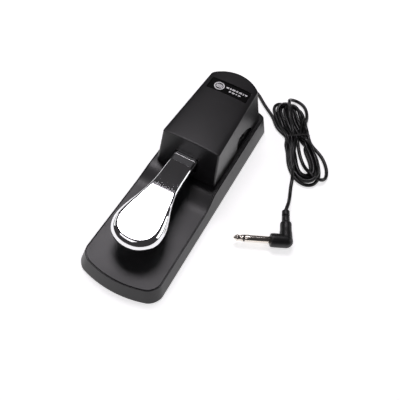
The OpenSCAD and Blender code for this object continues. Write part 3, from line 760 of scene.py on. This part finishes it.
def make_plug():
    out = []
    tip = [(0.02, 0), (0.5, 0.05), (1.15, 0.5), (1.9, 1.5), (2.6, 2.6), (2.88, 3.05), (2.95, 3.35), (2.85, 3.9), (2.55, 4.7), (2.35, 5.2), (2.3, 5.8),
           (2.42, 6.2), (2.65, 6.7), (2.9, 7.15), (3.0, 7.6), (3.0, 8.25), (2.9, 8.3), (1.0, 8.3)]
    out.append(finish_mesh("plug_point", *laid(revolve(tip), PLUG_AT, PLUG_DIR), "plug_nickel", replaces=["plug_tip"], sharp=50))
    ins = [(1.0, 8.3), (2.9, 8.3), (2.95, 8.45), (2.95, 9.45), (2.9, 9.6), (1.0, 9.6)]
    out.append(finish_mesh("plug_ring", *laid(revolve(ins), PLUG_AT, PLUG_DIR), "switch_black", replaces=["plug_insulator"], slot="plug_pvc", sharp=50))
    sleeve = [(1.0, 9.6), (3.05, 9.6), (3.175, 9.75), (3.175, 14), (3.175, 20), (3.175, 26), (3.175, 31.6), (3.0, 31.75), (2.2, 31.8), (2.2, 38.0)]
    out.append(finish_mesh("plug_shank", *laid(revolve(sleeve), PLUG_AT, PLUG_DIR), "plug_nickel", replaces=["plug_sleeve"], sharp=50))
    # moulded elbow: one arm along the shank, one towards the cord, met by a ball
    L = PLUG_LEN
    arm1 = [(2.4, L - 0.02), (5.3, L), (5.62, L + 0.15), (5.85, L + 0.6), (6.0, L + 1.4), (6.1, L + 2.6)]
    arm1 += [(6.1, L + x) for x in (5, 8, 11, 13.5)]
    arm1 += [(6.1 * math.cos(math.radians(a)), L + 13.5 + 6.1 * math.sin(math.radians(a))) for a in range(10, 90, 10)] + [(0.02, L + 19.6)]
    arm2 = [(0.02, -6.0)] + [(5.98 * math.cos(math.radians(a)), 5.98 * math.sin(math.radians(a))) for a in range(-80, 1, 10)]
    arm2 += [(5.8, 1.5), (5.62, 4), (5.4, 8), (5.1, 10.2), (5.0, 11.8), (5.05, 12.6), (5.1, 16.4), (5.0, 17.4), (4.7, 18.1), (4.2, 18.45), (3.2, 18.5)]
    a = finish_mesh("plug_elbow", *join([laid(revolve(arm1), PLUG_AT, PLUG_DIR), laid(revolve(arm2), ELBOW_AT, ARM_DIR)]), "plug_pvc", replaces=["plug_body"], sharp=50)
    out.append(a)
    boot = [(2.2, 18.3), (3.3, 18.4)]
    for x0, x1 in ((18.9, 24.2), (25.3, 30.5)):
        boot += [(2.7, x0 - 0.3), (3.42, x0), (3.52, x0 + 0.4), (3.48, x1 - 0.4), (3.38, x1), (2.7, x1 + 0.3)]
    boot += [(2.5, 31.0), (1.75, 31.0)]
    out.append(finish_mesh("plug_relief", *laid(revolve(boot), ELBOW_AT, ARM_DIR), "plug_pvc", replaces=["plug_boot"], sharp=45))
    return out


def make_gland():
    prof = [(3.9, 108.6), (3.9, 114.3), (5.0, 114.4), (5.3, 114.6), (5.4, 114.9), (5.4, 115.5), (5.25, 115.85), (4.9, 116.0), (3.75, 116.1)]
    for k in range(5):
        x0, r = 117.4 + 2.7 * k, 3.55 - 0.2 * k
        prof += [(r - 0.35, x0 - 0.1), (r - 0.04, x0 + 0.1), (r, x0 + 0.3), (r - 0.02, x0 + 1.2), (r - 0.1, x0 + 1.45), (r - 0.42, x0 + 1.6)]
    prof += [(2.5, 130.6), (2.4, 130.9), (2.1, 131.0), (1.72, 131.0)]
    v, f = revolve(prof)
    v = [(-10 - y, x, 10 + z) for x, y, z in v]
    return finish_mesh("gland", v, [q for q in f], "cord_pvc", replaces=["cable_gland"], sharp=45)


def make_tie():
    """Flat band drawn round the strands as one closed loop."""
    outer_x = 12.5
    path = []
    for k in range(64):
        a = 2 * math.pi * k / 64
        n = 4.2
        c, s = math.cos(a), math.sin(a)
        path.append((outer_x * math.copysign(abs(c) ** (2 / n), c), 4.1 + 3.75 * math.copysign(abs(s) ** (2 / n), s)))
    path = np.array(path)
    t = np.roll(path, -1, 0) - np.roll(path, 1, 0)
    t /= np.linalg.norm(t, axis=1)[:, None]
    nrm = np.stack([t[:, 1], -t[:, 0]], 1)
    prof = [(-0.95, -0.05), (-1.05, -0.25), (-0.95, -0.45), (-0.5, -0.55), (0, -0.6), (0.5, -0.55), (0.95, -0.45), (1.05, -0.25), (0.95, -0.05), (0.5, 0.05), (0, 0.1), (-0.5, 0.05)]
    verts, faces = [], []
    for i in range(64):
        for y, d in prof:
            q = path[i] + nrm[i] * (d + 0.02)
            verts.append((q[0], y, max(q[1], 0.02)))
    m = len(prof)
    for i in range(64):
        for k in range(m):
            j, l = (i + 1) % 64, (k + 1) % m
            faces.append((i * m + k, j * m + k, j * m + l, i * m + l))
    a = math.radians(37)
    out = [(68.5 + x * math.cos(a) - y * math.sin(a), 113.5 + x * math.sin(a) + y * math.cos(a), z) for x, y, z in verts]
    return finish_mesh("tie", out, [q[::-1] for q in faces], "rubber_black", replaces=["hank_tie"], slot="cord_pvc", sharp=50)


plug = make_plug()
gland = make_gland()
tie = make_tie()
cord.data.materials.append(MAT["cord_pvc"])

# ---------------------------------------------------------------- carried-over parts
SLOT_OF = {
    "bottom_plate": "plate_steel", "bottom_screws": "screw_steel", "front_grip_pad": "rubber_black", "rear_grip_pad": "rubber_black", "cover_screws": "screw_steel",
    "rocker_arm": "zinc_steel", "lever_screws": "screw_steel", "pivot_bushes": "nylon", "pivot_shaft": "screw_steel", "shaft_clips": "spring_steel",
    "pivot_bracket": "zinc_steel", "bracket_screws": "screw_steel", "return_spring": "spring_steel", "spring_seat": "switch_black", "upstop_pad": "rubber_black",
    "downstop_buffer": "rubber_black", "switch_case": "switch_black", "switch_plunger": "switch_red", "switch_leaf": "contact_metal",
    "switch_terminals": "contact_metal", "circuit_board": "board_green", "board_screws": "screw_steel", "polarity_case": "plate_steel",
    "polarity_knob": "switch_black", "cable_clamp": "switch_black", "clamp_screws": "screw_steel", "inner_cable": "cord_pvc", "signal_wires": "wire_pvc",
}
for name, mat in SLOT_OF.items():
    o = NODES[name]
    o.data.materials.clear()
    o.data.materials.append(MAT[mat])
    for p in o.data.polygons:
        p.material_index = 0
    smooth(o.data, 32)

# ---------------------------------------------------------------- floor and light
def make_stage():
    me = bpy.data.meshes.new("floor")
    me.from_pydata([(-4, -4, -0.0003), (4, -4, -0.0003), (4, 4, -0.0003), (-4, 4, -0.0003)], [], [(0, 1, 2, 3)])
    floor = bpy.data.objects.new("floor", me)
    scene.collection.objects.link(floor)
    m = bpy.data.materials.new("floor")
    m.use_nodes = True
    b = m.node_tree.nodes["Principled BSDF"]
    b.inputs["Base Color"].default_value = (0.92, 0.92, 0.925, 1)
    b.inputs["Roughness"].default_value = 0.8
    b.inputs["Specular IOR Level"].default_value = 0.15
    b.inputs["Emission Color"].default_value = (1.0, 0.995, 1.0, 1)
    b.inputs["Emission Strength"].default_value = 0.64
    me.materials.append(m)


def panel(name, at, facing, size, energy, colour=(1, 1, 1)):
    """Soft rectangular panel: its first size runs level, the second one up its own slope."""
    light = bpy.data.lights.new(name, "AREA")
    light.shape = "RECTANGLE"
    light.size, light.size_y = size
    light.energy = energy
    light.color = colour
    o = bpy.data.objects.new(name, light)
    scene.collection.objects.link(o)
    o.location = at
    back = -Vector(facing).normalized()
    side = Vector((0, 0, 1)).cross(back)
    side = side.normalized() if side.length > 1e-6 else Vector((1, 0, 0))
    m = Matrix((side, back.cross(side), back)).transposed().to_4x4()
    m.translation = Vector(at)
    o.matrix_world = m
    return o


make_stage()
world = bpy.data.worlds.new("world")
world.use_nodes = True
world.node_tree.nodes["Background"].inputs["Color"].default_value = (1.0, 0.95, 1.0, 1)
world.node_tree.nodes["Background"].inputs["Strength"].default_value = 0.040
scene.world = world
scene.view_settings.view_transform = "Standard"
scene.view_settings.look = "None"
scene.view_settings.exposure = 0.0

panel("overhead", (-0.37, 0.48, 1.2), (0, 0, -1), (0.62, 0.44), 6.6, (1.0, 0.955, 1.01))
panel("front", (-0.40, -0.80, 1.15), (0.15, 0.35, -1), (1.0, 0.7), 3.0, (1.0, 0.97, 1.02))
panel("right", (1.15, 0.55, 0.50), (-1.0, -0.55, -0.42), (0.8, 0.5), 2.8)
panel("left", (-1.3, 0.1, 0.4), (1.0, -0.1, -0.3), (0.8, 0.4), 1.2)
